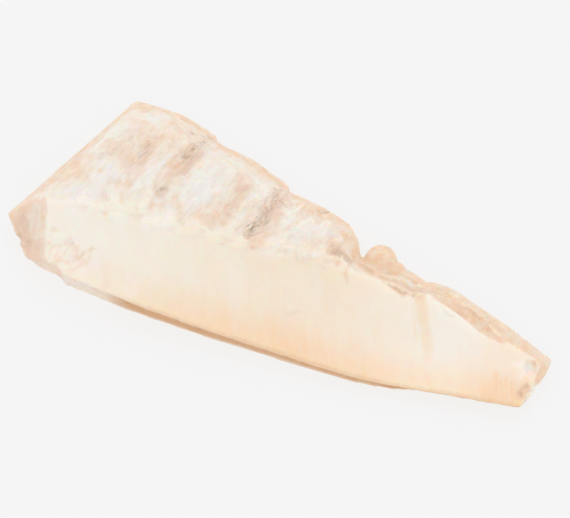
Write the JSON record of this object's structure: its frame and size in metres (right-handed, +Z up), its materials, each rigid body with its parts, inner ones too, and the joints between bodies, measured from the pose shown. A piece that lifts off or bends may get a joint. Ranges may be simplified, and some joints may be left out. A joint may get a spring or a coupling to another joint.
{
  "type": "selenite crystal blade",
  "caption": "Long tapering blade of milky selenite that lies on its flat back face, with a smooth sloping face, a rough stepped side and a broken tip.",
  "frame": {"origin": "middle of the blade's outline in plan, on the surface that its flat back face rests on", "axes": "+X from the broad broken end to the tip, -Y towards the long sharp edge, +Z up from the resting face"},
  "size_m": [0.1424, 0.056, 0.0157],
  "materials": {
    "selenite": "milky translucent cream gypsum, smooth and silky on the long face, frosted and clay-stained on the stepped side"
  },
  "bodies": {
    "root": {"selenite_blade": "selenite"}
  },
  "joints": []
}
